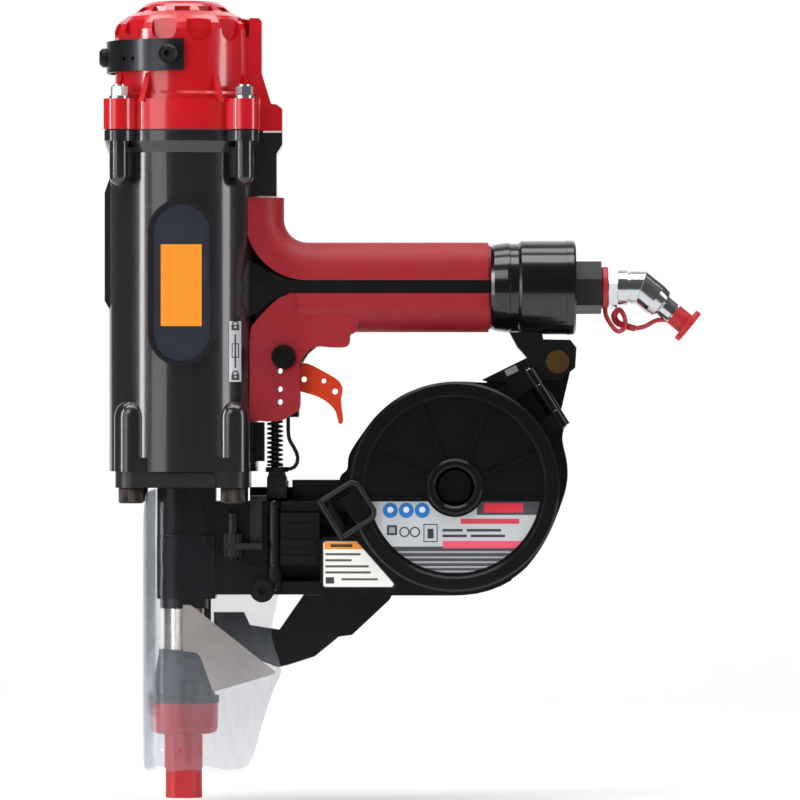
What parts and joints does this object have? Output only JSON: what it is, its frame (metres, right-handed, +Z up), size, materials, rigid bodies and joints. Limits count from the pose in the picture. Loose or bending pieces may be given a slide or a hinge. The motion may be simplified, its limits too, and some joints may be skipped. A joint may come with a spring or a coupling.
{
  "type": "pneumatic coil nail gun",
  "caption": "Handheld air nail gun for concrete pins with a red cap, red grips, black coil drum and clear nose shield.",
  "frame": {"origin": "centre of the nail exit in the contact tip's end face, on the drive axis", "axes": "+Z up the drive axis from the tip to the cylinder cap, +X along the handle towards the air inlet, +Y away from the side with the drum's cover"},
  "size_m": [0.3006, 0.0844, 0.397],
  "materials": {
    "housing": "metallic dark grey paint, satin gloss",
    "cap_red": "glossy red paint on die cast alloy",
    "gasket": "matt black rubber",
    "zinc": "bright zinc plate",
    "band_steel": "black coated spring steel, satin",
    "black_screw": "black oxide, satin",
    "core_black": "black nylon, fine texture",
    "grip_rubber": "matt red soft rubber",
    "collar_black": "gloss black paint",
    "filter_steel": "woven steel, dull",
    "black_steel": "black oxide, satin",
    "sleeve_alloy": "honed alloy",
    "bumper_rubber": "matt black rubber",
    "flange_dark": "dark grey cast, satin",
    "bolt_oxide": "black oxide, worn",
    "nose_dark": "black coated steel",
    "bright_steel": "ground steel",
    "black_plastic": "black glass filled nylon",
    "clear_sheet": "clear polycarbonate sheet",
    "pin_bronze": "bronze, oiled",
    "drum_plastic": "black ABS, satin gloss",
    "valve_brass": "turned brass",
    "plate_print": "printed plate, satin",
    "label_silver": "printed film",
    "plug_steel": "nickel plated steel",
    "spring_steel": "spring steel, bright",
    "spring_black": "black spring steel",
    "piston_alloy": "turned alloy",
    "trigger_orange": "orange nylon, satin",
    "dial_black": "gloss black plastic",
    "tip_red": "red urethane, satin",
    "holder_grey": "dark grey steel",
    "plate_steel": "stamped steel, satin",
    "arm_steel": "black coated steel",
    "latch_black": "black nylon",
    "wire_black": "black coated wire",
    "platform_alloy": "pressed alloy",
    "cap_rubber": "red rubber, satin"
  },
  "bodies": {
    "tool": {"main_housing": "housing", "cylinder_cap": "cap_red", "cap_gasket": "gasket", "cap_bolts": "zinc", "exhaust_deflector": "band_steel", "deflector_screws": "black_screw", "handle_core": "core_black", "grip_upper": "grip_rubber", "grip_lower": "grip_rubber", "handle_collar": "collar_black", "end_cap": "collar_black", "air_filter": "filter_steel", "inlet_bushing": "black_steel", "cylinder_sleeve": "sleeve_alloy", "bumper": "bumper_rubber", "nose_flange": "flange_dark", "nose_bolts": "bolt_oxide", "nose_block": "nose_dark", "nose_tube": "bright_steel", "feed_channel": "black_plastic", "feed_cylinder": "black_plastic", "shield": "clear_sheet", "shield_bolts": "black_screw", "magazine_bracket": "black_plastic", "magazine_pin": "pin_bronze", "magazine_body": "drum_plastic", "valve_body": "valve_brass", "trigger_pin": "bright_steel", "arm_guide": "black_plastic", "lower_guard": "drum_plastic", "name_plate": "plate_print", "lock_label": "label_silver", "hinge_pins": "bright_steel", "plug_base": "plug_steel", "head_valve_spring": "spring_steel", "contact_spring": "spring_black"},
    "drive": {"piston": "piston_alloy", "driver_blade": "bright_steel", "piston_ring": "bumper_rubber"},
    "head_valve": {"head_valve": "nose_dark"},
    "trigger": {"trigger": "trigger_orange", "trigger_lever": "bright_steel"},
    "stem": {"valve_stem": "bright_steel"},
    "dial": {"lock_dial": "dial_black"},
    "contact": {"contact_tip": "tip_red", "tip_holder": "holder_grey", "contact_plate": "plate_steel", "contact_arm": "arm_steel", "arm_pedestal": "black_steel"},
    "depth": {"depth_dial": "black_steel"},
    "feeder": {"feed_piston": "piston_alloy"},
    "door": {"nose_door": "black_plastic"},
    "latch": {"latch_lever": "latch_black", "latch_wire": "wire_black"},
    "cover": {"magazine_cover": "drum_plastic"},
    "platform": {"coil_platform": "platform_alloy"},
    "swivel": {"swivel_body": "plug_steel", "cap_strap": "cap_rubber"},
    "elbow": {"swivel_elbow": "plug_steel"},
    "dustcap": {"dust_cap": "cap_rubber"}
  },
  "joints": [
    {"name": "drive_stroke", "type": "slide", "parent": "tool", "child": "drive", "axis": [0, 0, -1], "range_m": [0, 0.104]},
    {"name": "head_valve_lift", "type": "slide", "parent": "tool", "child": "head_valve", "axis": [0, 0, 1], "range_m": [0, 0.005], "stiffness_N_per_m": 2000, "springref_m": -0.004, "deforming": ["head_valve_spring"]},
    {"name": "trigger_pull", "type": "hinge", "parent": "tool", "child": "trigger", "pos_m": [0.0533, 0, 0.2095], "axis": [0, -1, 0], "range_deg": [0, 14], "stiffness_Nm_per_rad": 0.4, "springref_deg": -20.05},
    {"name": "valve_stem_lift", "type": "slide", "parent": "tool", "child": "stem", "axis": [0, 0, 1], "range_m": [0, 0.0016]},
    {"name": "lock_dial_turn", "type": "hinge", "parent": "tool", "child": "dial", "pos_m": [0.0502, 0, 0.2198], "axis": [0, 1, 0], "range_deg": [0, 90]},
    {"name": "contact_slide", "type": "slide", "parent": "tool", "child": "contact", "axis": [0, 0, 1], "range_m": [0, 0.012], "stiffness_N_per_m": 300, "springref_m": -0.02, "deforming": ["contact_spring"]},
    {"name": "depth_dial_turn", "type": "hinge", "parent": "contact", "child": "depth", "pos_m": [0.0248, -0.0155, 0.127], "axis": [0, 0, 1], "continuous": true},
    {"name": "feed_stroke", "type": "slide", "parent": "tool", "child": "feeder", "axis": [1, 0, 0], "range_m": [0, 0.009], "stiffness_N_per_m": 400, "springref_m": -0.004},
    {"name": "nose_door_swing", "type": "hinge", "parent": "tool", "child": "door", "pos_m": [0.0456, -0.0134, 0.1275], "axis": [0, 0, -1], "range_deg": [0, 95]},
    {"name": "latch_flip", "type": "hinge", "parent": "cover", "child": "latch", "pos_m": [0.0755, -0.029, 0.1405], "axis": [0.5314, 0, -0.8471], "range_deg": [0, 50]},
    {"name": "cover_swing", "type": "hinge", "parent": "tool", "child": "cover", "pos_m": [0.1806, -0.012, 0.19925], "axis": [-0.5314, 0, 0.8471], "range_deg": [0, 100]},
    {"name": "platform_slide", "type": "slide", "parent": "tool", "child": "platform", "axis": [0, -1, 0], "range_m": [0, 0.02]},
    {"name": "swivel_turn", "type": "hinge", "parent": "tool", "child": "swivel", "pos_m": [0.2284, 0, 0.25465], "axis": [1, 0, 0], "continuous": true},
    {"name": "elbow_turn", "type": "hinge", "parent": "swivel", "child": "elbow", "pos_m": [0.2284, 0, 0.25465], "axis": [0.9426, 0, -0.3338], "range_deg": [-25, 25]},
    {"name": "dust_cap_pull", "type": "slide", "parent": "elbow", "child": "dustcap", "axis": [0.7771, 0, -0.6293], "range_m": [0, 0.012]}
  ],
  "couplings": [
    {"joint": "valve_stem_lift", "follows": "trigger_pull", "m_per_rad": 0.0065415}
  ]
}
